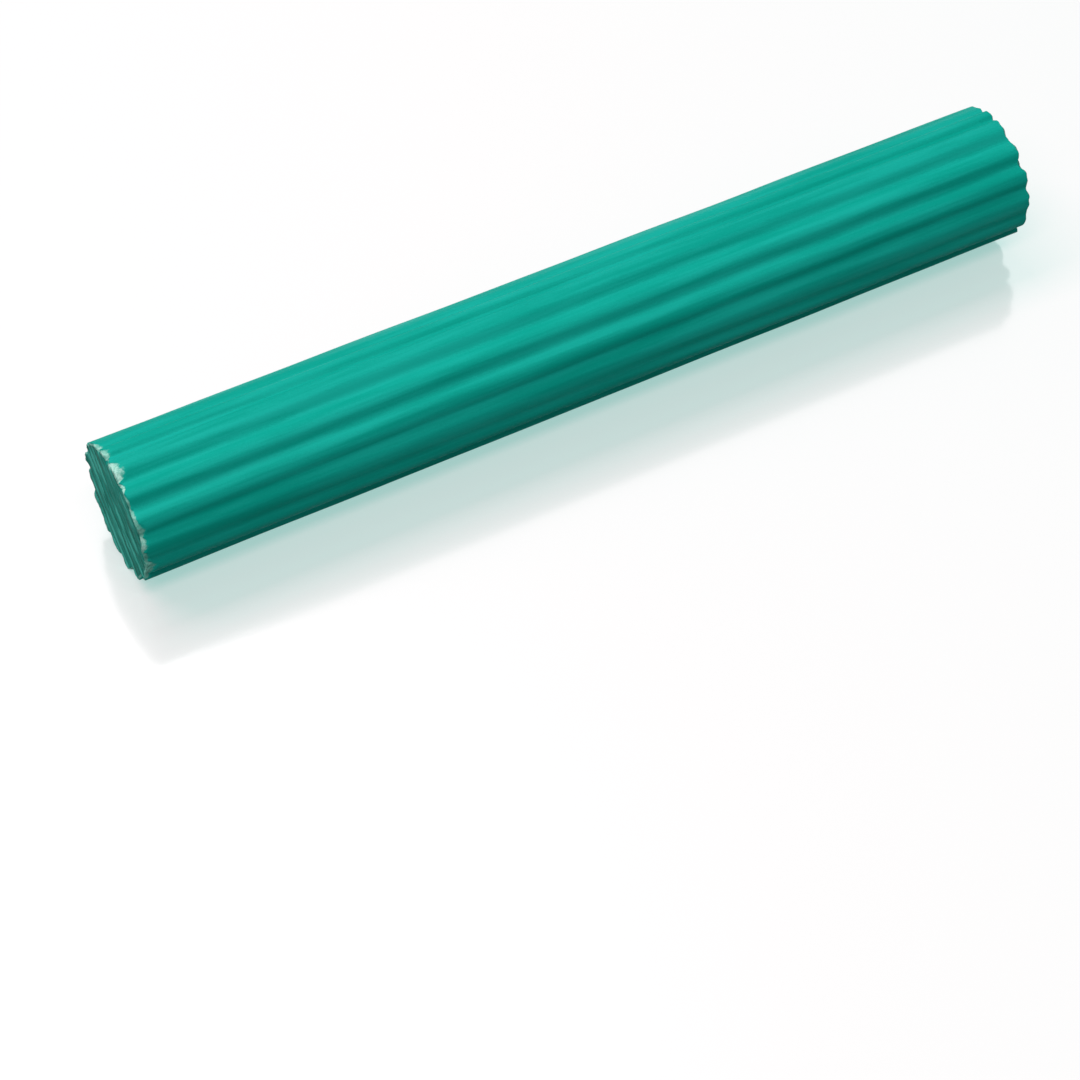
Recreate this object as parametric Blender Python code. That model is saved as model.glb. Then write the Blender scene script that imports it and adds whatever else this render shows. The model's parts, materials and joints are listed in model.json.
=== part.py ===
"""A therapy resistance bar: a solid ribbed bar of green rubber, held at both ends to be bent and twisted.

Metres, +Z up. The bar lies along X, on two of its ribs, with the middle of its length over the origin.

The real bar is one moulding with nothing inside it. Here it is divided across its length, so that it can
bend and twist as its rubber does. From the centre length out to each grip, thin flex lengths take turns
with firm lengths. A flex length bends against the length before it, about an upright line through its own
middle. The firm length or grip after it twists against it, about the bar's own axis. Each object is
parented to the length before it, and its origin lies on the axis of the joint that moves it.
"""

import math

import bmesh
import bpy

# The bar
BAR_LENGTH = 0.305
RIB_DIAMETER = 0.043  # over the crests of opposite ribs
GROOVE_DEPTH = 0.0013
RIB_COUNT = 16
CREST_SHARE = 0.32  # of the rib pitch that is crest
VALLEY_SHARE = 0.28  # of the rib pitch that is groove floor

# How it bends
GRIP_LENGTH = 0.027  # the straight end that a fist closes on
BENDS_PER_SIDE = 10
FULL_BEND_DEG = 180.0  # from one grip to the other, as a U
BENT_CLEARANCE = 0.0004  # between the rims of two firm lengths at full bend
FACE_GAP = 0.0003  # between the facing cuts of two lengths

# Finishes
MOULDED_GREEN = (0.010, 0.330, 0.250, 1.0)
CUT_GREEN = (0.035, 0.165, 0.115, 1.0)
MOULDED_ROUGHNESS = 0.42
CUT_ROUGHNESS = 0.75
RUBBER_METALLIC = 0.0
SMOOTH_UP_TO_DEG = 50.0

CREST_RADIUS = RIB_DIAMETER / 2
BEND_STEP = math.radians(FULL_BEND_DEG) / (2 * BENDS_PER_SIDE)
RIM_TRAVEL = 2 * CREST_RADIUS * math.tan(BEND_STEP / 2)
FLEX_LENGTH = RIM_TRAVEL + BENT_CLEARANCE - 2 * FACE_GAP
LAST_BEND = BAR_LENGTH / 2 - GRIP_LENGTH - FACE_GAP - FLEX_LENGTH / 2
BEND_PITCH = LAST_BEND / (BENDS_PER_SIDE - 0.5)
FIRM_LENGTH = BEND_PITCH - FLEX_LENGTH - 2 * FACE_GAP
JOINT_STEP = BEND_PITCH / 2  # from each joint to the next along the bar


def clear_scene():
    for obj in list(bpy.data.objects):
        bpy.data.objects.remove(obj)


def rubber(name, color, roughness):
    material = bpy.data.materials.new(name)
    material.use_nodes = True
    shader = material.node_tree.nodes["Principled BSDF"]
    shader.inputs["Base Color"].default_value = color
    shader.inputs["Roughness"].default_value = roughness
    shader.inputs["Metallic"].default_value = RUBBER_METALLIC
    return material


def section_outline():
    """Corners of the cross-section as (y, z) from the bar's axis, with the middle of a groove straight down."""
    pitch = 2 * math.pi / RIB_COUNT
    rib = (
        (-CREST_SHARE / 2, CREST_RADIUS),
        (CREST_SHARE / 2, CREST_RADIUS),
        (0.5 - VALLEY_SHARE / 2, CREST_RADIUS - GROOVE_DEPTH),
        (0.5 + VALLEY_SHARE / 2, CREST_RADIUS - GROOVE_DEPTH),
    )
    corners = []
    for number in range(RIB_COUNT):
        crest = (number + 0.5) * pitch - math.pi / 2
        for share, radius in rib:
            angle = crest + share * pitch
            corners.append((radius * math.cos(angle), radius * math.sin(angle)))
    return corners


def length_mesh(name, low, high, outline, materials):
    """A stretch of the bar from x = low to x = high, measured from the joint that moves it."""
    shape = bmesh.new()
    ring = [shape.verts.new((low, y, z)) for y, z in outline]
    cap = shape.faces.new(ring)
    drawn_out = bmesh.ops.extrude_face_region(shape, geom=[cap])["geom"]
    far_ring = [item for item in drawn_out if isinstance(item, bmesh.types.BMVert)]
    bmesh.ops.translate(shape, verts=far_ring, vec=(high - low, 0, 0))
    bmesh.ops.recalc_face_normals(shape, faces=shape.faces)
    mesh = bpy.data.meshes.new(name)
    shape.to_mesh(mesh)
    shape.free()
    for material in materials:
        mesh.materials.append(material)
    mesh.shade_smooth()
    mesh.set_sharp_from_angle(angle=math.radians(SMOOTH_UP_TO_DEG))
    return mesh


def grip_mesh(side, outward, outline, moulded, cut):
    """A grip, from the last flex length to the end of the bar, with its cut end in the second material."""
    joint = BENDS_PER_SIDE * BEND_PITCH
    outer = BAR_LENGTH / 2 - joint
    inner = outer - GRIP_LENGTH
    low, high = sorted((outward * inner, outward * outer))
    mesh = length_mesh(f"{side}_grip", low, high, outline, (moulded, cut))
    end_face = max(mesh.polygons, key=lambda face: outward * face.center.x)
    end_face.material_index = 1
    return mesh


def place(name, mesh, carrier, location):
    obj = bpy.data.objects.new(name, mesh)
    bpy.context.scene.collection.objects.link(obj)
    obj.parent = carrier
    obj.location = location
    return obj


def half_bar(side, outward, centre, outline, moulded, cut):
    """The chain of lengths from the centre length to one grip."""
    flex = length_mesh(f"{side}_flex", -FLEX_LENGTH / 2, FLEX_LENGTH / 2, outline, (moulded,))
    firm = length_mesh(f"{side}_length", -FIRM_LENGTH / 2, FIRM_LENGTH / 2, outline, (moulded,))
    grip = grip_mesh(side, outward, outline, moulded, cut)
    step = (outward * JOINT_STEP, 0, 0)
    carrier = centre
    for number in range(1, BENDS_PER_SIDE + 1):
        bending = place(f"{side}_flex_{number:02d}", flex, carrier, step)
        if number < BENDS_PER_SIDE:
            carrier = place(f"{side}_length_{number:02d}", firm, bending, step)
        else:
            place(f"{side}_grip", grip, bending, step)


def build():
    clear_scene()
    moulded = rubber("moulded_rubber", MOULDED_GREEN, MOULDED_ROUGHNESS)
    cut = rubber("cut_rubber", CUT_GREEN, CUT_ROUGHNESS)
    outline = section_outline()
    axis_height = -min(z for _, z in outline)
    middle = length_mesh("centre_length", -FIRM_LENGTH / 2, FIRM_LENGTH / 2, outline, (moulded,))
    centre = place("centre_length", middle, None, (0, 0, axis_height))
    half_bar("right", 1, centre, outline, moulded, cut)
    half_bar("left", -1, centre, outline, moulded, cut)


build()
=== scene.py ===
"""Looks of a therapy resistance bar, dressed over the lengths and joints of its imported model.

Metres, +Z up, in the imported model's own frame: the bar lies along X on the floor at z = 0, with the middle
of its length over the origin. An angle round the bar starts straight down and grows towards -Y.

The bar is one moulding of ribbed rubber, cut off at both ends. Its skin is made in short pieces, since a
piece can follow only one joint: one for the middle, one for each bend joint, one for each twist joint and
one for each grip. All of them lie on one moulded surface, so at rest they meet without a step. The last
few millimetres at each end are a piece of their own, with the torn rim and the face that the knife left.
"""

import json
import logging
import math
from dataclasses import dataclass, field
from enum import Enum

import bpy
import numpy as np
from mathutils import Euler, Matrix, Vector, noise

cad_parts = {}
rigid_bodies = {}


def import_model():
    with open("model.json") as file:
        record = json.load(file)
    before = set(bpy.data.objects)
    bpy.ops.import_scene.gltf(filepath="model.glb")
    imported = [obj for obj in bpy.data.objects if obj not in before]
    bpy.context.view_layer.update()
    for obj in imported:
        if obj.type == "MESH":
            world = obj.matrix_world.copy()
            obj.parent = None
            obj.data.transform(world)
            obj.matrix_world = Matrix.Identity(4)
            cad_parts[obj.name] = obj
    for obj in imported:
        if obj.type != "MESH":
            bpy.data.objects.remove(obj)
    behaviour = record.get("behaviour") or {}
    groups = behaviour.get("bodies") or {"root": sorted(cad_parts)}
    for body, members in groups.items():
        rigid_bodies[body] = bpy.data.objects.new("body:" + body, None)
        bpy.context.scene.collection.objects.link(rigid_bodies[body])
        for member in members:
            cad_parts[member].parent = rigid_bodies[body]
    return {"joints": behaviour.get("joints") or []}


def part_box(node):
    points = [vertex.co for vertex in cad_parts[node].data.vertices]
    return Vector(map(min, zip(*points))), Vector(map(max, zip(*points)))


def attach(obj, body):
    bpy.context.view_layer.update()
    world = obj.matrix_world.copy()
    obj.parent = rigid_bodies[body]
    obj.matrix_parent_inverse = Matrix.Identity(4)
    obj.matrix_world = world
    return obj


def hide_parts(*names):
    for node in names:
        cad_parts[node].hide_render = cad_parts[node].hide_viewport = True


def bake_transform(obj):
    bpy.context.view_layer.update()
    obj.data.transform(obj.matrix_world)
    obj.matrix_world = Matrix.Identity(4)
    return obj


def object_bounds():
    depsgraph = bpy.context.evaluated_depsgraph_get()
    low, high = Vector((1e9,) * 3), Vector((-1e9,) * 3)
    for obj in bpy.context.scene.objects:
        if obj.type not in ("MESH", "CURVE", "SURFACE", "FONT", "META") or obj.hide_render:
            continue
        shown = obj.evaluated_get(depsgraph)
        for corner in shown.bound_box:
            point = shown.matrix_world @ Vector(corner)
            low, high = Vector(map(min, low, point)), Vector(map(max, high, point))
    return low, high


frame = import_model()
CAD_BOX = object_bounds()

ROOT_BODY = "centre_length"
REST_PLACE = "rest_place"  # a point's place in the straight bar, which its finish is laid on
TORN = "torn"  # 1 at the cut, falling to 0 where the torn rubber ends
PALE = "pale"  # how pale the torn rubber is
RIDGE_HIGHLIGHT_AND_SHADE = "ridge"  # 1 along the top of a knife ridge, where the face's finish paints a highlight, and -1 in the valley beside it, where it paints shade
STROKE_PLACE = "stroke_place"  # a point's place along and across the knife's strokes
MM = 0.001

log = logging.getLogger("resistance_bar")


class Side(Enum):
    """The two halves of the bar, as the sign of their X."""

    RIGHT = 1
    LEFT = -1

    @property
    def word(self) -> str:
        """The side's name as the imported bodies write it."""
        return self.name.lower()


class Slot(Enum):
    """The record's material slots."""

    MOULDED = "moulded_rubber"
    CUT = "cut_rubber"


Socket = bpy.types.NodeSocket
Node = bpy.types.Node
Colour = tuple[float, float, float, float]
Place = tuple[float, float, float]
Span = tuple[float, float]
Ramp = tuple[float, float, float, float]  # low, high, and what the two give


@dataclass(frozen=True)
class Pattern:
    """Smooth noise at a scale of its own."""

    per_metre: Place  # its units in a metre along X, Y and Z
    detail: float = 2.0  # how many octaves
    roughness: float = 0.6  # how strong each finer octave is


@dataclass(frozen=True)
class Wiring:
    """Adds nodes to one shader tree and joins their sockets."""

    tree: bpy.types.NodeTree  # of a material, a world or a group

    def add(self, kind: str, **settings: object) -> Node:
        """Adds a shader node.

        Args:
            kind: the node's type without its ShaderNode prefix.
            **settings: the node's own properties.

        Returns:
            The new node.
        """
        node = self.tree.nodes.new("ShaderNode" + kind)
        for name, value in settings.items():
            setattr(node, name, value)
        return node

    def feed(self, socket: Socket, value: object) -> None:
        """Links a socket, or sets its value.

        Args:
            socket: the input.
            value: an output socket to link, or a plain value.
        """
        if isinstance(value, Socket):
            self.tree.links.new(value, socket)
        else:
            socket.default_value = value

    def fill(self, node: Node, **values: object) -> None:
        """Feeds several inputs of one node.

        Args:
            node: the node.
            **values: what goes into each input, by its name in lower case, with _ for a space.
        """
        for name, value in values.items():
            self.feed(node.inputs[name.replace("_", " ").title()], value)

    def math(self, operation: str, *values: object) -> Socket:
        """Works out one number from one to three others.

        Args:
            operation: the Math node's operation.
            *values: sockets or numbers.

        Returns:
            The socket with the result.
        """
        node = self.add("Math", operation=operation)
        for socket, value in zip(node.inputs, values):
            self.feed(socket, value)
        return node.outputs[0]

    def weighted(self, values: list[Socket], weights: tuple[float, ...]) -> Socket:
        """Adds numbers up, each times its own weight.

        Args:
            values: the numbers' sockets.
            weights: their weights.

        Returns:
            The socket with the sum.
        """
        first, *others = [self.math("MULTIPLY", *pair) for pair in zip(values, weights)]
        for other in others:
            first = self.math("ADD", first, other)
        return first

    def scaled(self, place: Socket, per_metre: Place) -> Socket:
        """Stretches a place by its own scale along each axis.

        Args:
            place: a vector socket, in metres.
            per_metre: the pattern's units in a metre along X, Y and Z.

        Returns:
            The vector socket with the stretched place.
        """
        node = self.add("VectorMath", operation="MULTIPLY")
        self.feed(node.inputs[0], place)
        self.feed(node.inputs[1], per_metre)
        return node.outputs[0]

    def noise(self, place: Socket, pattern: Pattern) -> Socket:
        """Smooth noise from 0 to 1.

        Args:
            place: a vector socket, in metres.
            pattern: the noise's scale and octaves.

        Returns:
            The socket with the noise.
        """
        node = self.add("TexNoise")
        vector = self.scaled(place, pattern.per_metre)
        self.fill(node, vector=vector, scale=1.0, detail=pattern.detail, roughness=pattern.roughness)
        return node.outputs[0]

    def ramp(
        self, value: object, low: object, high: object, start: object = 0.0, end: object = 1.0
    ) -> Socket:
        """Smoothly maps low..high to start..end and holds the ends.

        Args:
            value: the number to map.
            low: where the map starts.
            high: where it ends.
            start: the result at low and before it.
            end: the result at high and past it.

        Returns:
            The socket with the mapped number.
        """
        node = self.add("MapRange", interpolation_type="SMOOTHSTEP")
        names = ("Value", "From Min", "From Max", "To Min", "To Max")
        for name, item in zip(names, (value, low, high, start, end)):
            self.feed(node.inputs[name], item)
        return node.outputs[0]

    def blend(self, share: object, first: object, second: object) -> Socket:
        """Mixes two colours.

        Args:
            share: 0 gives the first and 1 the second.
            first: a colour or a colour socket.
            second: a colour or a colour socket.

        Returns:
            The colour socket.
        """
        node = self.add("Mix", data_type="RGBA")
        colour_inputs = [socket for socket in node.inputs if socket.type == "RGBA"]
        self.feed(node.inputs[0], share)
        self.feed(colour_inputs[0], first)
        self.feed(colour_inputs[1], second)
        return next(socket for socket in node.outputs if socket.type == "RGBA")

    def attribute(self, name: str, output: str) -> Socket:
        """The Vector or Fac output of an attribute that the mesh carries."""
        return self.add("Attribute", attribute_name=name).outputs[output]

    def bump(self, height: Socket, depth: float, under: Socket | None = None) -> Socket:
        """Turns a height from 0 to 1 into a normal.

        Args:
            height: the height.
            depth: the real height of 1, in metres.
            under: the normal of a coarser bump below this one.

        Returns:
            The socket with the normal.
        """
        node = self.add("Bump")
        self.fill(node, distance=depth, height=height)
        if under is not None:
            self.feed(node.inputs["Normal"], under)
        return node.outputs["Normal"]


def new_group(name: str, inputs: dict[str, str], outputs: dict[str, str]) -> tuple[Wiring, Node, Node]:
    """Starts a shader node group.

    Args:
        name: the group's name.
        inputs: the socket type of each input, by name.
        outputs: the socket type of each output, by name.

    Returns:
        The group's wiring, its input node and its output node.
    """
    tree = bpy.data.node_groups.new(name, "ShaderNodeTree")
    for in_out, sockets in (("INPUT", inputs), ("OUTPUT", outputs)):
        for socket, kind in sockets.items():
            tree.interface.new_socket(name=socket, in_out=in_out, socket_type="NodeSocket" + kind)
    return Wiring(tree), tree.nodes.new("NodeGroupInput"), tree.nodes.new("NodeGroupOutput")


def new_material(name: str, specular: float) -> tuple[bpy.types.Material, Wiring, Node]:
    """Starts a material.

    Args:
        name: the material's name.
        specular: its specular level.

    Returns:
        The material, its wiring and its Principled shader.
    """
    material = bpy.data.materials.new(name)
    material.use_nodes = True
    shader = material.node_tree.nodes["Principled BSDF"]
    shader.inputs["Specular IOR Level"].default_value = specular
    return material, Wiring(material.node_tree), shader


def grey(level: float) -> Colour:
    """A colour without a hue."""
    return level, level, level, 1.0


@dataclass(frozen=True)
class MouldedGroup:
    """The moulded rubber's colour, sheen and grain, shared by the skin and by the rim of the cut ends."""

    streaks: Pattern = Pattern((14.0, 230.0, 230.0), 3.0)
    drag_lines: Pattern = Pattern((45.0, 1300.0, 1300.0), 2.0, 0.5)
    grain: Pattern = Pattern((2600.0, 2600.0, 2600.0))
    tone_shares: Place = (0.6, 0.2, 0.2)  # of the streaks, the drag lines and the grain
    tones: Span = (0.38, 0.62)  # where the green is all deep, and where all light
    sheens: Span = (0.25, 0.75)
    specks_per_metre: Place = (110.0, 110.0, 110.0)
    speck_radius: float = 0.026
    speck_share: float = 0.07

    def build(self) -> bpy.types.NodeTree:
        """Makes the group.

        Returns:
            The group's tree, with a place and three greens going in, and a colour, a sheen and a grain
            height coming out.
        """
        wiring, given, result = new_group(
            "moulded_rubber_surface",
            {"Place": "Vector", "Deep Green": "Color", "Light Green": "Color", "Speck": "Color"},
            {"Color": "Color", "Sheen": "Float", "Grain": "Float"},
        )
        place = given.outputs["Place"]
        layers = [wiring.noise(place, pattern) for pattern in (self.streaks, self.drag_lines, self.grain)]
        streaks, drag, grain = layers
        lightness = wiring.ramp(wiring.weighted(layers, self.tone_shares), *self.tones)
        green = wiring.blend(lightness, given.outputs["Deep Green"], given.outputs["Light Green"])
        spots = wiring.add("TexVoronoi")
        wiring.fill(spots, vector=wiring.scaled(place, self.specks_per_metre), scale=1.0)
        near = wiring.ramp(spots.outputs["Distance"], self.speck_radius, self.speck_radius * 2, 1.0, 0.0)
        pick = wiring.add("SeparateColor")
        wiring.feed(pick.inputs[0], spots.outputs["Color"])
        chosen = wiring.math("LESS_THAN", pick.outputs[0], self.speck_share)
        specked = wiring.blend(wiring.math("MULTIPLY", near, chosen), green, given.outputs["Speck"])
        height = wiring.math("MULTIPLY", wiring.math("ADD", drag, grain), 0.5)
        wiring.fill(result, color=specked, sheen=wiring.ramp(streaks, *self.sheens), grain=height)
        return wiring.tree


@dataclass(frozen=True)
class FlecksGroup:
    """The ragged, pale flecks of torn rubber, shared by the rim and the face of the cut ends."""

    fine: Pattern = Pattern((2600.0, 2600.0, 2600.0), 3.0)
    coarse: Pattern = Pattern((750.0, 750.0, 750.0), 1.0, 0.5)
    shares: Span = (0.4, 0.6)  # of the fine and the coarse pattern
    raggedness: float = 0.85
    edge_softness: float = 0.45
    fleck_edges: Span = (0.42, 0.60)
    fleck_share: float = 0.6  # of the paleness that only the flecks have

    def build(self) -> bpy.types.NodeTree:
        """Makes the group.

        Returns:
            The group's tree, with a place, how torn it is and the cover going in, and the torn rubber's
            mask, the pale flecks within it and a height for its roughness coming out.
        """
        wiring, given, result = new_group(
            "torn_flecks",
            {"Place": "Vector", "Torn": "Float", "Cover": "Float"},
            {"Mask": "Float", "Flecks": "Float", "Height": "Float"},
        )
        layers = [wiring.noise(given.outputs["Place"], pattern) for pattern in (self.fine, self.coarse)]
        ragged = wiring.weighted(layers, self.shares)
        spread = wiring.math("MULTIPLY", wiring.math("SUBTRACT", ragged, 0.5), self.raggedness)
        reach = wiring.math("ADD", given.outputs["Torn"], spread)
        threshold = wiring.math("SUBTRACT", 1.0, given.outputs["Cover"])
        upper = wiring.math("ADD", threshold, self.edge_softness)
        mask = wiring.ramp(reach, threshold, upper)
        flecks = wiring.ramp(ragged, *self.fleck_edges, 1 - self.fleck_share, 1.0)
        height = wiring.math("MULTIPLY", ragged, given.outputs["Torn"])
        wiring.fill(result, mask=mask, flecks=flecks, height=height)
        return wiring.tree


@dataclass(frozen=True)
class RubberColours:
    """The rubber's colours, as linear light, and how strongly it shines."""

    deep_green: Colour = (0.001, 0.344, 0.268, 1.0)
    light_green: Colour = (0.007, 0.416, 0.340, 1.0)
    speck: Colour = (0.26, 0.56, 0.47, 1.0)
    cut_dark: Colour = (0.002, 0.085, 0.062, 1.0)
    cut_green: Colour = (0.010, 0.300, 0.235, 1.0)
    # the pale green of the crumbs, also used as the painted highlight on the knife ridges
    cut_pale_and_ridge_highlight: Colour = (0.090, 0.500, 0.415, 1.0)
    torn_dull: Colour = (0.090, 0.420, 0.330, 1.0)
    torn_pale: Colour = (0.480, 0.800, 0.700, 1.0)
    specular_level: float = 0.05
    cut_specular_level: float = 0.06


@dataclass(frozen=True)
class Finish:
    """One rubber finish, laid on the rest place of each point."""

    colours: RubberColours
    moulded: bpy.types.NodeTree
    flecks: bpy.types.NodeTree
    torn_roughness: float = 0.8

    def torn_look(self, wiring: Wiring, cover: float) -> tuple[Node, Socket]:
        """Places the torn rubber's group.

        Args:
            wiring: the material's wiring.
            cover: how much of the torn reach it covers, from 0 to 1.

        Returns:
            The group's node, and the colour of the torn rubber.
        """
        torn = wiring.add("Group", node_tree=self.flecks)
        place = wiring.attribute(REST_PLACE, "Vector")
        wiring.fill(torn, place=place, torn=wiring.attribute(TORN, "Fac"), cover=cover)
        white = wiring.math("MULTIPLY", torn.outputs["Flecks"], wiring.attribute(PALE, "Fac"))
        return torn, wiring.blend(white, self.colours.torn_dull, self.colours.torn_pale)


@dataclass(frozen=True)
class MouldedFinish(Finish):
    """The dull, faintly streaked moulded surface, with pale flecks where the knife tore it."""

    name: str = "moulded_rubber_skin"
    smooth: float = 0.50
    dull: float = 0.62
    grain_depth: float = 0.00003
    cover: float = 0.0  # how much of the torn reach the flecks cover: 0 leaves them out
    fleck_depth: float = 0.00025

    def material(self) -> bpy.types.Material:
        """Makes the finish of the skin or of the rim.

        Returns:
            The material.
        """
        material, wiring, shader = new_material(self.name, self.colours.specular_level)
        look = wiring.add("Group", node_tree=self.moulded)
        deep, light, speck = self.colours.deep_green, self.colours.light_green, self.colours.speck
        place = wiring.attribute(REST_PLACE, "Vector")
        wiring.fill(look, place=place, deep_green=deep, light_green=light, speck=speck)
        colour = look.outputs["Color"]
        rough = wiring.ramp(look.outputs["Sheen"], 0.0, 1.0, self.dull, self.smooth)
        normal = wiring.bump(look.outputs["Grain"], self.grain_depth)
        if self.cover:
            torn, torn_colour = self.torn_look(wiring, self.cover)
            mask = torn.outputs["Mask"]
            colour = wiring.blend(mask, colour, torn_colour)
            rough = wiring.ramp(mask, 0.0, 1.0, rough, self.torn_roughness)
            normal = wiring.bump(torn.outputs["Height"], self.fleck_depth, normal)
        wiring.fill(shader, base_color=colour, roughness=rough, normal=normal)
        return material


@dataclass(frozen=True)
class CutFaceFinish(Finish):
    """The dull face that the knife left, scored along its stroke, with a painted highlight on its ridges and
    painted shade in the valley beside each.
    """

    scores: Pattern = Pattern((45.0, 520.0, 0.0), 3.0)
    blotches: Pattern = Pattern((160.0, 420.0, 0.0), 2.0, 0.5)
    fine_scores: Pattern = Pattern((60.0, 1700.0, 0.0))
    crumbs: Pattern = Pattern((1300.0, 2600.0, 0.0))
    ground_shares: Place = (0.4, 0.25, 0.35)  # of the scores, the blotches and the fine scores
    ground_shades: Ramp = (0.40, 0.56, 0.2, 1.0)
    # painted shade in the valley beside each ridge, and a painted highlight on each ridge's top
    painted_valley_shade: Span = (-0.9, 0.0)
    ridge_highlights: Span = (0.1, 0.95)
    ridge_breaks: Ramp = (0.38, 0.55, 0.3, 1.0)
    ridge_highlight_strength: float = 0.9
    crumb_lights: Ramp = (0.58, 0.72, 0.0, 0.45)
    cut_roughness: float = 0.68
    cover: float = 0.75
    score_depth: float = 0.00014

    def material(self) -> bpy.types.Material:
        """Makes the finish of the face.

        Returns:
            The material.
        """
        material, wiring, shader = new_material("cut_rubber_face", self.colours.cut_specular_level)
        stroke = wiring.attribute(STROKE_PLACE, "Vector")
        patterns = (self.scores, self.blotches, self.fine_scores)
        ground = wiring.weighted([wiring.noise(stroke, pattern) for pattern in patterns], self.ground_shares)
        # the ridge mask paints a highlight on each ridge's top and shade in the valley beside it
        ridge = wiring.attribute(RIDGE_HIGHLIGHT_AND_SHADE, "Fac")
        valley_shade = wiring.ramp(ridge, *self.painted_valley_shade)
        ground_tone = wiring.math("MULTIPLY", wiring.ramp(ground, *self.ground_shades), valley_shade)
        green = wiring.blend(ground_tone, self.colours.cut_dark, self.colours.cut_green)
        broken = wiring.ramp(ground, *self.ridge_breaks)
        ridge_highlight = wiring.math("MULTIPLY", wiring.ramp(ridge, *self.ridge_highlights), broken)
        speckled = wiring.ramp(wiring.noise(stroke, self.crumbs), *self.crumb_lights)
        # the painted ridge highlight, or a pale crumb where that is lighter
        light = wiring.math("MAXIMUM", wiring.math("MULTIPLY", ridge_highlight, self.ridge_highlight_strength), speckled)
        scored = wiring.blend(light, green, self.colours.cut_pale_and_ridge_highlight)
        torn, torn_colour = self.torn_look(wiring, self.cover)
        mask = torn.outputs["Mask"]
        colour = wiring.blend(mask, scored, torn_colour)
        rough = wiring.ramp(mask, 0.0, 1.0, self.cut_roughness, self.torn_roughness)
        wiring.fill(shader, base_color=colour, roughness=rough, normal=wiring.bump(ground, self.score_depth))
        return material


@dataclass(frozen=True)
class Groove:
    """One groove between two ribs, numbered from the one straight down towards -Y."""

    number: int
    shift_deg: float = 0.0
    depth_share: float = 1.0
    narrowing: float = 1.5  # 1 makes a plain wave with its ribs, and more makes the groove narrower


@dataclass(frozen=True)
class MouldedSurface:
    """The outside of the straight bar: how far it lies from the axis at each angle and place along it."""

    axis_height: float
    crest_radius: float = 0.02150
    groove_depth: float = 0.0013
    groove_count: int = 16
    odd_grooves: tuple[Groove, ...] = (
        Groove(3, -4.2, 1.30, 2.4),
        Groove(4, -3.2, 0.45, 1.1),
        Groove(5, -0.7, 0.84, 1.9),
        Groove(6, 0.6, 1.06, 1.35),
        Groove(7, 1.4, 1.50, 1.35),
        Groove(8, 5.6, 1.00, 3.2),
        Groove(9, -3.0, 0.65, 4.5),
        Groove(10, 2.1, 0.50, 4.0),
    )
    chance_shift_deg: float = 1.2
    flat_rounding: float = 0.0003
    wander: float = 0.00004
    wander_waves: int = 24
    wander_per_metre: Span = (4.0, 22.0)
    seed: int = 11

    def grooves(self) -> list[Groove]:
        """Lists the grooves.

        Returns:
            The grooves in order, each a little out of its even place.
        """
        chance = np.random.default_rng(self.seed)
        even = [Groove(n, chance.uniform(-1, 1) * self.chance_shift_deg) for n in range(self.groove_count)]
        odd = {groove.number: groove for groove in self.odd_grooves}
        return [odd.get(groove.number, groove) for groove in even]

    def phase(self, angle: np.ndarray) -> np.ndarray:
        """Counts grooves round the bar: a whole number at each groove, a half on the rib between two.

        Args:
            angle: radians round the bar, from 0 to a full turn.

        Returns:
            The count at each angle.
        """
        step = 360 / self.groove_count
        places = [math.radians(groove.number * step + groove.shift_deg) for groove in self.grooves()]
        turn = 2 * math.pi
        known = [places[-1] - turn, *places, places[0] + turn]
        return np.interp(angle, known, np.arange(-1, self.groove_count + 1))

    def dip(self, angle: np.ndarray) -> np.ndarray:
        """Works out how deep each angle lies.

        Args:
            angle: radians round the bar.

        Returns:
            0 on the crest of a rib and about 1 in the middle of a groove.
        """
        count = self.phase(angle)
        nearest = np.rint(count).astype(int) % self.groove_count
        grooves = self.grooves()
        shares = np.array([groove.depth_share for groove in grooves])[nearest]
        narrowing = np.array([groove.narrowing for groove in grooves])[nearest]
        return shares * (0.5 + 0.5 * np.cos(2 * math.pi * count)) ** narrowing

    def radius(self, angle: np.ndarray, along: np.ndarray) -> np.ndarray:
        """The distance from the axis.

        Args:
            angle: radians round the bar.
            along: places on X.

        Returns:
            The distance at each of them, in metres.
        """
        even = self.crest_radius - self.groove_depth * self.dip(angle)
        flats = self.axis_height / np.maximum(np.abs(np.sin(angle)), np.abs(np.cos(angle)))
        return soft_minimum(even + self.unevenness(angle, along), flats, self.flat_rounding)

    def unevenness(self, angle: np.ndarray, along: np.ndarray) -> np.ndarray:
        """The slow lengthwise wander of soft rubber ribs, as a sum of long waves.

        Args:
            angle: radians round the bar.
            along: places on X.

        Returns:
            How far each point lies outside the even surface, in metres.
        """
        chance = np.random.default_rng(self.seed)
        total = np.zeros(np.broadcast(angle, along).shape)
        for _ in range(self.wander_waves):
            turns = chance.integers(0, self.groove_count + 4)
            per_metre = chance.uniform(*self.wander_per_metre)
            start = chance.uniform(0.0, 2 * math.pi)
            total += np.cos(turns * angle + 2 * math.pi * per_metre * along + start)
        return total * self.wander / math.sqrt(self.wander_waves / 2)

    def points(self, angle: np.ndarray, along: np.ndarray, radius: np.ndarray) -> np.ndarray:
        """Points in the frame.

        Args:
            angle: radians round the bar.
            along: places on X.
            radius: distances from the axis.

        Returns:
            An array of x, y, z rows.
        """
        along = np.broadcast_to(along, radius.shape)
        spots = (along, -radius * np.sin(angle), self.axis_height - radius * np.cos(angle))
        return np.stack(spots, axis=-1).reshape(-1, 3)


def soft_minimum(first: np.ndarray, second: np.ndarray, width: float) -> np.ndarray:
    """The lesser of two, rounded off where they lie nearer to each other than a width."""
    nearness = np.clip(1 - np.abs(first - second) / width, 0, 1)
    return np.minimum(first, second) - width / 4 * nearness**2


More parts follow.
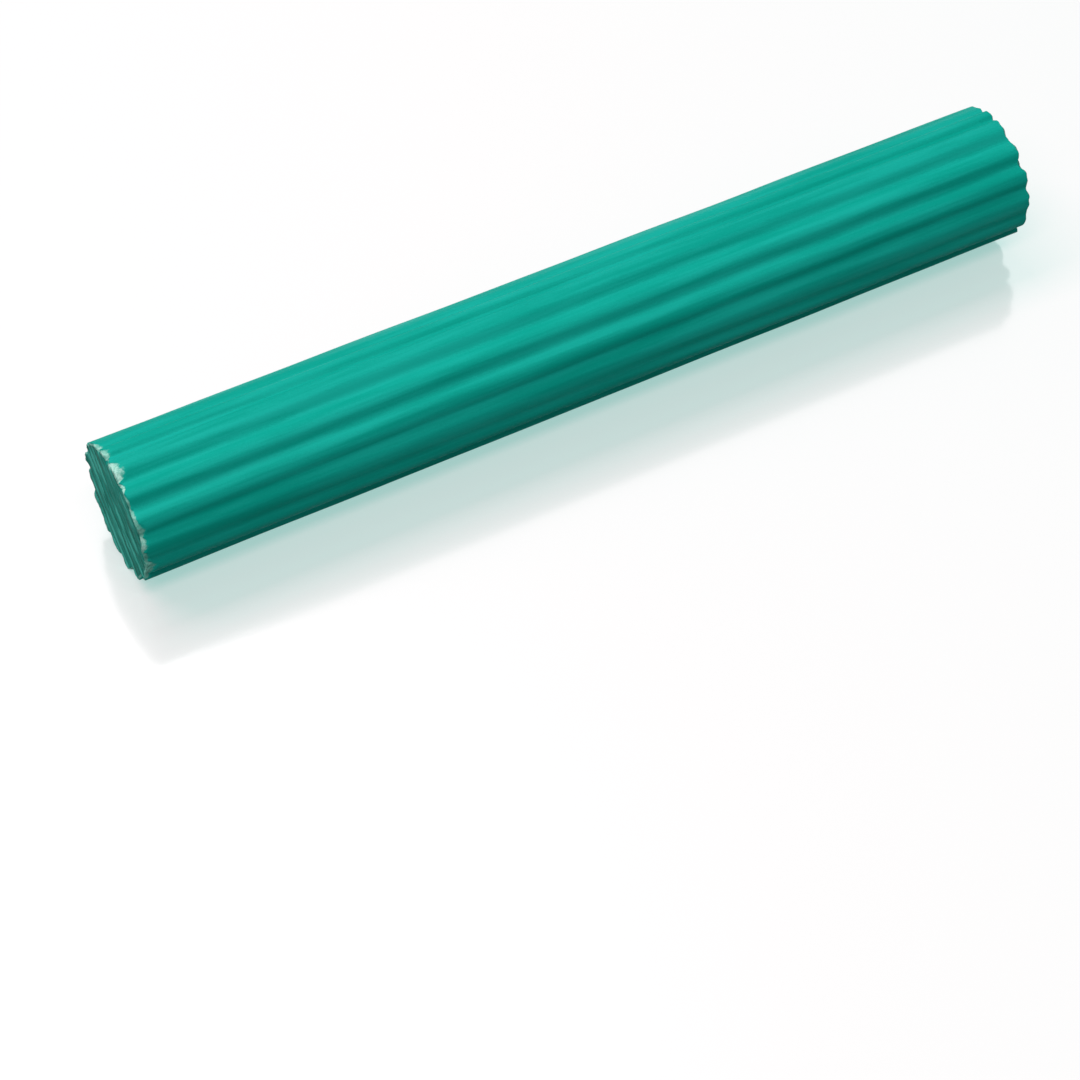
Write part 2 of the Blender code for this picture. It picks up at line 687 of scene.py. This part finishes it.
def tube_faces(rows: int, columns: int) -> list[tuple[int, ...]]:
    """The quads of a tube whose points are numbered row by row.

    Args:
        rows: how many rings of points.
        columns: points in each ring.

    Returns:
        The corners of each quad.
    """
    quads = []
    for row in range(rows - 1):
        for column in range(columns):
            beside = (column + 1) % columns
            low, high = row * columns, (row + 1) * columns
            quads.append((low + column, low + beside, high + beside, high + column))
    return quads


def write_points(mesh: bpy.types.Mesh, name: str, values: list) -> None:
    """Writes a number or a place to each point of a mesh.

    Args:
        mesh: the mesh.
        name: the attribute to make.
        values: arrays of numbers or of x, y, z, in the order of the mesh's points.
    """
    flat = np.concatenate([np.ravel(part) for part in values]).astype(np.float32)
    if flat.size == len(mesh.vertices):
        mesh.attributes.new(name, "FLOAT", "POINT").data.foreach_set("value", flat)
    else:
        mesh.attributes.new(name, "FLOAT_VECTOR", "POINT").data.foreach_set("vector", flat)


def closed_mesh(
    name: str, points: np.ndarray, faces: list[tuple[int, ...]], mirrored: bool
) -> bpy.types.Mesh:
    """Makes a smooth mesh with outward faces.

    Args:
        name: the mesh's name.
        points: x, y, z rows.
        faces: the corners of each face.
        mirrored: whether the faces are wound the other way.

    Returns:
        The mesh, with each point's rest place written to it.
    """
    mesh = bpy.data.meshes.new(name)
    mesh.from_pydata(points.tolist(), [], [face[::-1] for face in faces] if mirrored else faces)
    mesh.shade_smooth()
    write_points(mesh, REST_PLACE, [points])
    return mesh


def show(name: str, data: bpy.types.ID) -> bpy.types.Object:
    """Puts a mesh, a lamp or a camera in the scene.

    Args:
        name: the object's name.
        data: the mesh, the lamp or the camera.

    Returns:
        The object.
    """
    shown = bpy.data.objects.new(name, data)
    bpy.context.scene.collection.objects.link(shown)
    return shown


@dataclass(frozen=True)
class SkinMaker:
    """Makes closed lengths of the bar's skin between two planes across it."""

    surface: MouldedSurface
    material: bpy.types.Material
    columns_per_rib: int = 16
    row_step: float = 0.0008
    rim_angle: float = math.radians(50.0)

    def length(self, name: str, low: float, high: float) -> bpy.types.Object:
        """Makes one length of skin.

        Args:
            name: the piece's name.
            low: X of its left plane.
            high: X of its right plane.

        Returns:
            The piece.
        """
        columns = self.columns_per_rib * self.surface.groove_count
        rows = max(2, math.ceil((high - low) / self.row_step)) + 1
        angle = np.linspace(0, 2 * math.pi, columns, endpoint=False)[None, :]
        along = np.linspace(low, high, rows)[:, None]
        points = self.surface.points(angle, along, self.surface.radius(angle, along))
        faces = tube_faces(rows, columns)
        faces.append(tuple(range(columns))[::-1])
        faces.append(tuple(range((rows - 1) * columns, rows * columns)))
        mesh = closed_mesh(name, points, faces, mirrored=False)
        mesh.set_sharp_from_angle(angle=self.rim_angle)
        mesh.materials.append(self.material)
        return show(name, mesh)


@dataclass(frozen=True)
class Tear:
    """One place on the rim where the knife tore rubber away."""

    angle_deg: float  # round the bar
    half_width_deg: float
    reach: float  # along the bar
    paleness: float  # 0 is dull green and 1 is nearly white


@dataclass(frozen=True)
class Waves:
    """Random waves round the rim."""

    number: int  # which random draws
    slowest: int  # the fewest turns of a wave in one round
    fastest: int
    height: float


LEFT_TEARS = (
    Tear(64.0, 7.0, 2.0 * MM, 0.25),
    Tear(78.0, 9.0, 3.4 * MM, 0.30),
    Tear(92.0, 7.0, 1.8 * MM, 0.25),
    Tear(105.0, 6.5, 2.3 * MM, 0.75),
    Tear(118.0, 7.0, 2.4 * MM, 0.30),
    Tear(129.0, 7.0, 1.6 * MM, 0.60),
    Tear(143.0, 6.0, 0.9 * MM, 0.35),
    Tear(154.5, 5.5, 1.1 * MM, 1.00),
    Tear(169.5, 8.5, 4.2 * MM, 1.00),
    Tear(190.5, 4.5, 3.2 * MM, 0.90),
    Tear(204.0, 7.0, 1.7 * MM, 0.70),
)


@dataclass(frozen=True)
class CutEnd:
    """One cut end: the bar's last few millimetres, with a torn rim and the knife's ridges on its face."""

    surface: MouldedSurface
    side: Side
    rim_material: bpy.types.Material
    face_material: bpy.types.Material
    end: float  # X of the end's plane, without its sign
    tears: tuple[Tear, ...] = ()
    stroke_angle: float = math.radians(42.0)
    seed: int = 5
    thickness: float = 0.0056
    columns_per_rib: int = 30
    side_rows: int = 24
    row_crowding: float = 1.4  # above 1, the side's rows crowd at the cut
    face_rings: int = 90
    rim_angle: float = math.radians(40.0)
    least_tear: float = 0.0003
    most_tear: float = 0.0042
    chance_tear: float = 0.0024  # the longest tear on a rib whose tear isn't set
    chance_place_deg: float = 4.0  # such a tear's furthest from the rib's crest
    chance_widths_deg: Span = (4.0, 9.0)
    chance_reaches: Span = (0.15, 1.0)
    chance_palenesses: Span = (0.15, 0.9)
    short_tears: float = 1.5  # above 1, short tears are commoner
    paleness: float = 0.4  # between the tears
    tear_waves: Waves = Waves(1, 8, 30, 0.20)
    fine_tear_waves: Waves = Waves(5, 30, 90, 0.08)
    tear_depth: float = 0.0007
    tear_curve: float = 0.8  # below 1, a tear starts steeper
    torn_setback: float = 0.0004
    face_tear: float = 0.35  # of a tear's reach, how far it goes into the face
    wear_waves: Waves = Waves(2, 8, 40, 0.5)
    wear_lumps: float = 0.4
    ragged_depth: float = 0.00035
    rim_waves: Waves = Waves(3, 2, 14, 0.9)
    fine_rim_waves: Waves = Waves(4, 14, 48, 0.3)
    notch_depth: float = 0.0008  # how much further the rim is cut back in a groove
    notch_waves: Waves = Waves(6, 3, 12, 0.8)
    ridge_count: int = 40
    ridge_pitch: float = 0.0043
    ridge_pitches: Span = (0.6, 1.4)  # times the ridge pitch
    ridge_height: float = 0.00045
    ridge_heights: Span = (0.35, 1.4)  # times the ridge height
    ridge_width: float = 0.0008
    widest_ridge: float = 0.4  # of the way to the next ridge
    valley_shade_width: float = 0.0011
    bows: tuple[Place, Place] = ((0.0005, 0.011, 1.3), (0.0002, 0.0047, 0.0))  # height, length and start
    line_wander: float = 0.0006
    lump_height: float = 0.00008
    ground_depth: float = 1.45  # of the ridge height, from the end's plane down to the ground
    rim_blend: float = 0.0010

    def build(self) -> bpy.types.Object:
        """Makes the end.

        Returns:
            The piece, closed, with the rim's finish on its side and the face's on its face.
        """
        columns = self.columns_per_rib * self.surface.groove_count
        angle = np.linspace(0, 2 * math.pi, columns, endpoint=False)[None, :]
        reach, pale = self.torn(angle)
        from_end = self.thickness * np.linspace(1, 0, self.side_rows)[:, None] ** self.row_crowding
        tear = np.clip(1 - from_end / reach, 0, 1)
        setback = self.raggedness(angle) + self.torn_setback * np.clip(reach / self.most_tear, 0, 1)
        along = self.end - from_end - setback * (1 - from_end / self.thickness)
        radius = self.surface.radius(angle, self.side.value * along)
        radius = radius - self.tear_depth * tear**self.tear_curve * self.lumps(angle, from_end)
        side_points = self.surface.points(angle, self.side.value * along, radius)
        inward = np.linspace(1, 0, self.face_rings + 1)[1:-1, None]
        face_radius = radius[-1:] * inward
        flat = self.surface.points(angle, np.zeros(1), face_radius)
        depth, ridge, strokes = self.relief(flat[:, 1], flat[:, 2] - self.surface.axis_height)
        to_rim = radius[-1:] * (1 - inward)
        share = np.clip(to_rim / self.rim_blend, 0, 1)
        rim_depth = np.broadcast_to(setback, face_radius.shape)
        sunk = share.ravel() * depth + ((1 - share) * rim_depth).ravel()
        flat[:, 0] = self.side.value * (self.end - sunk)
        middle = flat[-columns:].mean(axis=0, keepdims=True)
        mesh = self.mesh(side_points, flat, middle, columns)
        face_torn = np.clip(1 - to_rim / (self.least_tear + self.face_tear * reach), 0, 1)
        sides, face = np.zeros(len(side_points)), np.broadcast_to(pale, face_radius.shape)
        write_points(mesh, TORN, [tear, face_torn, 0.0])
        write_points(mesh, PALE, [np.broadcast_to(pale, tear.shape), face, 0.0])
        write_points(mesh, RIDGE_HIGHLIGHT_AND_SHADE, [sides, ridge, 0.0])
        write_points(mesh, STROKE_PLACE, [np.zeros((len(side_points), 3)), strokes, strokes[-1]])
        return show(f"{self.side.word}_cut_end", mesh)

    def mesh(self, sides: np.ndarray, face: np.ndarray, middle: np.ndarray, columns: int) -> bpy.types.Mesh:
        """Joins the side and the face to one closed mesh with its two finishes.

        Args:
            sides: the side's points, from the grip to the rim.
            face: the face's points, from the rim inwards.
            middle: the face's middle point.
            columns: points in each ring.

        Returns:
            The mesh.
        """
        rows = self.side_rows + self.face_rings - 1
        faces = tube_faces(rows, columns)
        last = (rows - 1) * columns
        faces += [(last + c, last + (c + 1) % columns, rows * columns) for c in range(columns)]
        faces.append(tuple(range(columns))[::-1])
        points = np.concatenate([sides, face, middle])
        mesh = closed_mesh(f"{self.side.word}_cut_end", points, faces, mirrored=self.side is Side.LEFT)
        mesh.materials.append(self.rim_material)
        mesh.materials.append(self.face_material)
        kinds = np.zeros(len(mesh.polygons), np.int32)
        kinds[(self.side_rows - 1) * columns : -1] = 1
        mesh.polygons.foreach_set("material_index", kinds)
        mesh.set_sharp_from_angle(angle=self.rim_angle)
        return mesh

    def waves(self, angle: np.ndarray, kind: Waves) -> np.ndarray:
        """Random waves round the rim.

        Args:
            angle: radians round the bar.
            kind: which waves.

        Returns:
            A value for each angle, up to about their height, which meets itself after a full turn.
        """
        chance = np.random.default_rng(self.seed * 100 + kind.number)
        turns = np.arange(kind.slowest, kind.fastest)
        heights = chance.normal(size=turns.size)
        starts = chance.uniform(0, 2 * math.pi, turns.size)
        total = sum(h * np.cos(t * angle + s) for h, t, s in zip(heights, turns, starts))
        return kind.height * (total / (1.5 * math.sqrt(turns.size)))

    def all_tears(self) -> list[Tear]:
        """Lists the tears.

        Returns:
            The tears set for this end, and one by chance on each rib that has none of them.
        """
        chance = np.random.default_rng(self.seed)
        step = 360 / self.surface.groove_count
        tears = list(self.tears)
        for rib in range(self.surface.groove_count):
            crest = (rib + 0.5) * step
            by_chance = Tear(
                crest + chance.uniform(-self.chance_place_deg, self.chance_place_deg),
                chance.uniform(*self.chance_widths_deg),
                self.chance_tear * chance.uniform(*self.chance_reaches) ** self.short_tears,
                chance.uniform(*self.chance_palenesses),
            )
            if all(abs(tear.angle_deg - crest) > step / 2 for tear in self.tears):
                tears.append(by_chance)
        return tears

    def torn(self, angle: np.ndarray) -> tuple[np.ndarray, np.ndarray]:
        """How far from the end the rubber is torn, and how pale it is there.

        Args:
            angle: radians round the bar.

        Returns:
            The reach and the paleness at each angle.
        """
        reach = np.full(angle.shape, self.least_tear)
        pale = np.full(angle.shape, self.paleness)
        for tear in self.all_tears():
            off = (np.degrees(angle) - tear.angle_deg + 180) % 360 - 180
            own = tear.reach * np.sqrt(np.clip(1 - (off / tear.half_width_deg) ** 2, 0, 1))
            pale = np.where(own > reach, tear.paleness, pale)
            reach = np.maximum(reach, own)
        ragged = 1 + self.waves(angle, self.tear_waves) + self.waves(angle, self.fine_tear_waves)
        return reach * np.clip(ragged, 0.5, 1.5), pale

    def lumps(self, angle: np.ndarray, from_end: np.ndarray) -> np.ndarray:
        """Works out how much the torn rubber is worn away.

        Args:
            angle: radians round the bar.
            from_end: distances from the end.

        Returns:
            The wear at each of them, about 1 on the whole.
        """
        slow = np.clip(0.8 + self.waves(angle, self.wear_waves), 0.2, 2)
        turns, rows = np.broadcast_arrays(angle, from_end)
        quick = self.chance_field(30 * turns.ravel(), 1800 * rows.ravel(), 0.0)
        return slow + self.wear_lumps * quick.reshape(turns.shape)

    def raggedness(self, angle: np.ndarray) -> np.ndarray:
        """Works out how far the rim falls short of the end's plane.

        Args:
            angle: radians round the bar.

        Returns:
            The distance at each angle.
        """
        slow, quick = self.waves(angle, self.rim_waves), self.waves(angle, self.fine_rim_waves)
        ragged = self.ragged_depth * np.clip(0.8 + slow + quick, 0, 2.5)
        notch = self.notch_depth * np.clip(0.9 + self.waves(angle, self.notch_waves), 0.3, 1.6)
        return ragged + notch * np.clip(self.surface.dip(angle), 0, 1)

    def chance_field(self, across: np.ndarray, up: np.ndarray, layer: float) -> np.ndarray:
        """Smooth noise of about -1 to 1 over two coordinates in its own units, from one layer of several."""
        return np.array([noise.noise(Vector((a, u, layer + self.seed))) for a, u in zip(across, up)])

    def relief(self, across: np.ndarray, up: np.ndarray) -> tuple[np.ndarray, np.ndarray, np.ndarray]:
        """The ridges that the knife leaves as it judders through the rubber.

        Args:
            across: places on Y, from the axis.
            up: heights above the axis.

        Returns:
            How deep each point lies below the end's plane, how near it is to a ridge's top, or below 0 to
            the valley beside it, for the face's painted highlight and painted shade, and its place along and
            across the strokes.
        """
        cosine, sine = math.cos(self.stroke_angle), math.sin(self.stroke_angle)
        stroke = across * cosine + up * sine
        step = up * cosine - across * sine
        bow = sum(height * np.sin(stroke / length + start) for height, length, start in self.bows)
        place = step + bow + self.line_wander * self.chance_field(90 * stroke, 260 * step, 0.0)
        chance = np.random.default_rng(self.seed)
        lines = np.cumsum(self.ridge_pitch * chance.uniform(*self.ridge_pitches, self.ridge_count))
        lines -= lines[self.ridge_count // 2]
        heights = self.ridge_height * chance.uniform(*self.ridge_heights, self.ridge_count)
        index = np.clip(np.searchsorted(lines, place) - 1, 0, self.ridge_count - 2)
        gap = lines[index + 1] - lines[index]
        part = np.clip((place - lines[index]) / gap, 0, 1)
        drop = np.minimum(self.ridge_width / gap, self.widest_ridge)
        rise = np.clip(part / (1 - drop), 0, 1) * np.clip((1 - part) / drop, 0, 1)
        worn = np.clip(0.85 + 1.2 * self.chance_field(110 * stroke, 5.3 * index, 1.0), 0.25, 1)
        lumps = self.chance_field(500 * stroke, 900 * step, 3.0)
        height = heights[index] * rise * worn + self.lump_height * lumps
        strength = np.clip(heights[index] / self.ridge_height, 0.25, 1)
        # masks for the painted highlight on the ridge's steep face and the painted shade in the valley after
        # it
        ridge = np.clip(1.5 - 1.6 * np.abs(part - (1 - drop / 2)) / drop, 0, 1) * worn * strength
        valley_shade = np.clip(1 - part * gap / self.valley_shade_width, 0, 1) * (0.4 + 0.6 * worn) * strength
        strokes = np.stack([stroke, place, np.zeros_like(stroke)], axis=-1)
        return np.clip(self.ridge_height * self.ground_depth - height, 0.0, None), ridge - valley_shade, strokes


CUTS = {
    Side.LEFT: {"tears": LEFT_TEARS},
    Side.RIGHT: {"stroke_angle": math.radians(-34.0), "seed": 23, "chance_tear": 0.0009},
}


@dataclass
class HalfBar:
    """One half of the bar, from the middle piece out to its cut end."""

    side: Side
    skin: SkinMaker
    cut_end: CutEnd
    bend_share: float = 0.43  # of the way from a bend joint to the next twist joint, the bend skin's part
    twist_overrun: float = 0.15  # of a twist blend's length, past each end of its skin: the ribs run evener
    joints: list[dict] = field(default_factory=list)

    def __post_init__(self) -> None:
        """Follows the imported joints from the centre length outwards."""
        body = ROOT_BODY
        while True:
            outward = [
                joint
                for joint in frame["joints"]
                if joint["parent"] == body and self.side.value * joint["pos_m"][0] > 0
            ]
            if not outward:
                return
            self.joints.append(outward[0])
            body = outward[0]["child"]

    def build(self) -> list[bpy.types.Object]:
        """Makes this half's pieces, from the middle outwards."""
        made = [self.joint_skin(number) for number in range(len(self.joints))]
        return [*made, self.grip_skin(), self.end_piece()]

    def seams(self) -> list[float]:
        """Places the seams between the skins.

        Returns:
            How far from the middle each seam lies, from the one before the first joint outwards.
        """
        at = [abs(joint["pos_m"][0]) for joint in self.joints]
        step = at[1] - at[0]
        bend_reach, twist_reach = self.bend_share * step, (1 - self.bend_share) * step
        reaches = [twist_reach if self.twists(joint) else bend_reach for joint in self.joints]
        inner = [place - reach for place, reach in zip(at, reaches)]
        return [*inner, at[-1] + twist_reach]

    def twists(self, joint: dict) -> bool:
        """Tells a twist joint, which turns about the bar's own line, from a bend joint."""
        return abs(joint["axis"][0]) > abs(joint["axis"][2])

    def joint_skin(self, number: int) -> bpy.types.Object:
        """Makes the skin over one joint, attached to no body, and hides the imported part that the joint
        carries unless that is the grip.

        Args:
            number: the joint's place in the chain.

        Returns:
            The piece.
        """
        joint = self.joints[number]
        inner, outer = self.seams()[number : number + 2]
        low, high = sorted((self.side.value * inner, self.side.value * outer))
        carried = joint["child"]
        is_last = number == len(self.joints) - 1
        name = f"{self.side.word}_last_twist_skin" if is_last else f"{carried}_skin"
        piece = self.skin.length(name, low, high)
        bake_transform(piece)
        if not is_last:
            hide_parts(carried)
        return piece

    def grip_skin(self) -> bpy.types.Object:
        """Makes the straight skin of the grip, up to the cut end.

        Returns:
            The piece.
        """
        inner = self.seams()[-1]
        outer = self.cut_end.end - self.cut_end.thickness
        low, high = sorted((self.side.value * inner, self.side.value * outer))
        grip = self.joints[-1]["child"]
        piece = self.skin.length(f"{grip}_skin", low, high)
        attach(piece, grip)
        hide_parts(grip)
        return piece

    def end_piece(self) -> bpy.types.Object:
        """Makes the cut end, which moves with the grip.

        Returns:
            The piece.
        """
        piece = self.cut_end.build()
        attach(piece, self.joints[-1]["child"])
        return piece


@dataclass(frozen=True)
class Lamp:
    """One broad, soft lamp."""

    name: str
    power: float  # watts
    size: tuple[float, float]  # along the bar and across it
    place: Place


@dataclass(frozen=True)
class Studio:
    """The plain floor, the soft lamps and the camera."""

    floor_side: float = 14.0
    floor_roughness: float = 0.7
    floor_white: float = 0.98
    painted_shadow_glow: Place = (0.42, 0.72, 0.67)  # how light the shadow on the floor stays: a mint glow painted into the floor near the bar, which lifts its shadow and tints it like a green reflection of the bar
    far_glow: float = 0.90  # how light the floor stays away from the bar
    near_reach: float = 0.35  # the painted mint glow holds as far as this from the middle of the bar
    far_reach: float = 1.1
    floor_bounce: float = 0.10  # the floor's colour for the light that it throws back on the bar
    polish_ior: float = 2.5
    polish_roughness: float = 0.14
    ambient: float = 0.30
    lamps: tuple[Lamp, ...] = (
        Lamp("near_overhead", 10.8, (1.4, 0.34), (-0.45, -0.62, 1.47)),
        Lamp("far_overhead", 15.1, (1.4, 0.56), (-0.45, 0.70, 1.44)),
    )
    aim: Place = (0.0, 0.0, 0.02)
    camera_place: Place = (-0.3110, -0.5436, 0.6449)
    camera_turn: Place = (math.radians(41.013), 0.0, math.radians(-28.756))
    camera_lens: float = 96.58

    def build(self) -> None:
        """Makes the whole studio."""
        self.floor()
        self.world()
        for lamp in self.lamps:
            self.hang(lamp)
        self.camera()
        bpy.context.scene.view_settings.view_transform = "Standard"

    def floor(self) -> None:
        """Makes the pale floor, which isn't part of the bar, with a painted mint glow near the bar that
        lifts its shadow and tints it like a green reflection.
        """
        half = self.floor_side / 2
        mesh = bpy.data.meshes.new("floor")
        corners = [(-half, -half, 0), (half, -half, 0), (half, half, 0), (-half, half, 0)]
        mesh.from_pydata(corners, [], [(0, 1, 2, 3)])
        material, wiring, shader = new_material("pale_floor", 0.0)
        shader.inputs["Coat IOR"].default_value = self.polish_ior
        camera = wiring.add("LightPath").outputs["Is Camera Ray"]
        distance = wiring.add("VectorMath", operation="LENGTH")
        wiring.feed(distance.inputs[0], wiring.add("NewGeometry").outputs["Position"])
        far = wiring.ramp(distance.outputs["Value"], self.near_reach, self.far_reach)
        # painted light: near the bar the floor glows mint for the camera, over a base that tops it up to
        # white where lit, so its shadow shows a painted green reflection
        near_shown = (*(self.floor_white - part for part in self.painted_shadow_glow), 1.0)
        shown = wiring.blend(far, near_shown, grey(self.floor_white - self.far_glow))
        colour = wiring.blend(self.seen(wiring), grey(self.floor_bounce), grey(self.floor_white))
        glow = wiring.blend(far, (*self.painted_shadow_glow, 1.0), grey(self.far_glow))
        colour = wiring.blend(camera, colour, shown)
        wiring.fill(shader, base_color=colour, roughness=self.floor_roughness, emission_color=glow)
        wiring.fill(shader, coat_roughness=self.polish_roughness)
        wiring.fill(shader, emission_strength=camera, coat_weight=camera)
        mesh.materials.append(material)
        floor = show("floor", mesh)

    def world(self) -> None:
        """Makes the sky: white where it is seen, and softer as the light that fills the shadows."""
        world = bpy.data.worlds.new("studio_sky")
        bpy.context.scene.world = world
        world.use_nodes = True
        wiring = Wiring(world.node_tree)
        background = world.node_tree.nodes["Background"]
        background.inputs["Color"].default_value = grey(1.0)
        strength = wiring.ramp(self.seen(wiring), 0.0, 1.0, self.ambient, 1.0)
        wiring.feed(background.inputs["Strength"], strength)

    def seen(self, wiring: Wiring) -> Socket:
        """Tells the rays that show a surface from those that only light another.

        Args:
            wiring: the wiring of the floor's or the sky's tree.

        Returns:
            The socket that is 1 for a ray from the camera, off a sheen or through glass.
        """
        path = wiring.add("LightPath")
        seen = wiring.math("MAXIMUM", path.outputs["Is Camera Ray"], path.outputs["Is Glossy Ray"])
        return wiring.math("MAXIMUM", seen, path.outputs["Is Transmission Ray"])

    def hang(self, lamp: Lamp) -> None:
        """Hangs a lamp that shines on the bar, with its first side turned along the bar.

        Args:
            lamp: its light, size and place.
        """
        data = bpy.data.lights.new(lamp.name, "AREA")
        data.energy = lamp.power
        data.shape = "RECTANGLE"
        data.size, data.size_y = lamp.size
        hung = show(lamp.name, data)
        back = (Vector(lamp.place) - Vector(self.aim)).normalized()
        along = (Vector((1.0, 0.0, 0.0)) - back * back.x).normalized()
        hung.rotation_euler = Matrix((along, back.cross(along), back)).transposed().to_euler()
        hung.location = lamp.place
        hung.visible_camera = False

    def camera(self) -> None:
        """Sets up the camera at the photograph's viewing angle."""
        data = bpy.data.cameras.new("camera")
        data.lens = self.camera_lens
        camera = show("camera", data)
        camera.location = self.camera_place
        camera.rotation_euler = Euler(self.camera_turn)
        bpy.context.scene.camera = camera


def main() -> None:
    """Builds the studio, then the middle piece and both halves of the bar."""
    logging.basicConfig(level=logging.INFO, format="%(name)s: %(message)s")
    Studio().build()
    low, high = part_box(ROOT_BODY)
    surface = MouldedSurface(axis_height=(low.z + high.z) / 2)
    colours = RubberColours()
    groups = {"colours": colours, "moulded": MouldedGroup().build(), "flecks": FlecksGroup().build()}
    skin = SkinMaker(surface, MouldedFinish(**groups).material())
    rim_material = MouldedFinish(**groups, name="torn_rubber_rim", cover=0.85).material()
    face_material = CutFaceFinish(**groups).material()
    pieces = []
    halves = []
    for side in Side:
        end = abs(CAD_BOX[1 if side is Side.RIGHT else 0].x)
        cut_end = CutEnd(surface, side, rim_material, face_material, end, **CUTS[side])
        half = HalfBar(side, skin, cut_end)
        halves.append(half)
        pieces += half.build()
    seam = halves[0].seams()[0]
    middle = skin.length(f"{ROOT_BODY}_skin", -seam, seam)
    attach(middle, ROOT_BODY)
    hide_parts(ROOT_BODY)
    pieces.append(middle)
    for piece in pieces:
        log.info("%s: %d points", piece.name, len(piece.data.vertices))


if __name__ == "__main__":
    main()
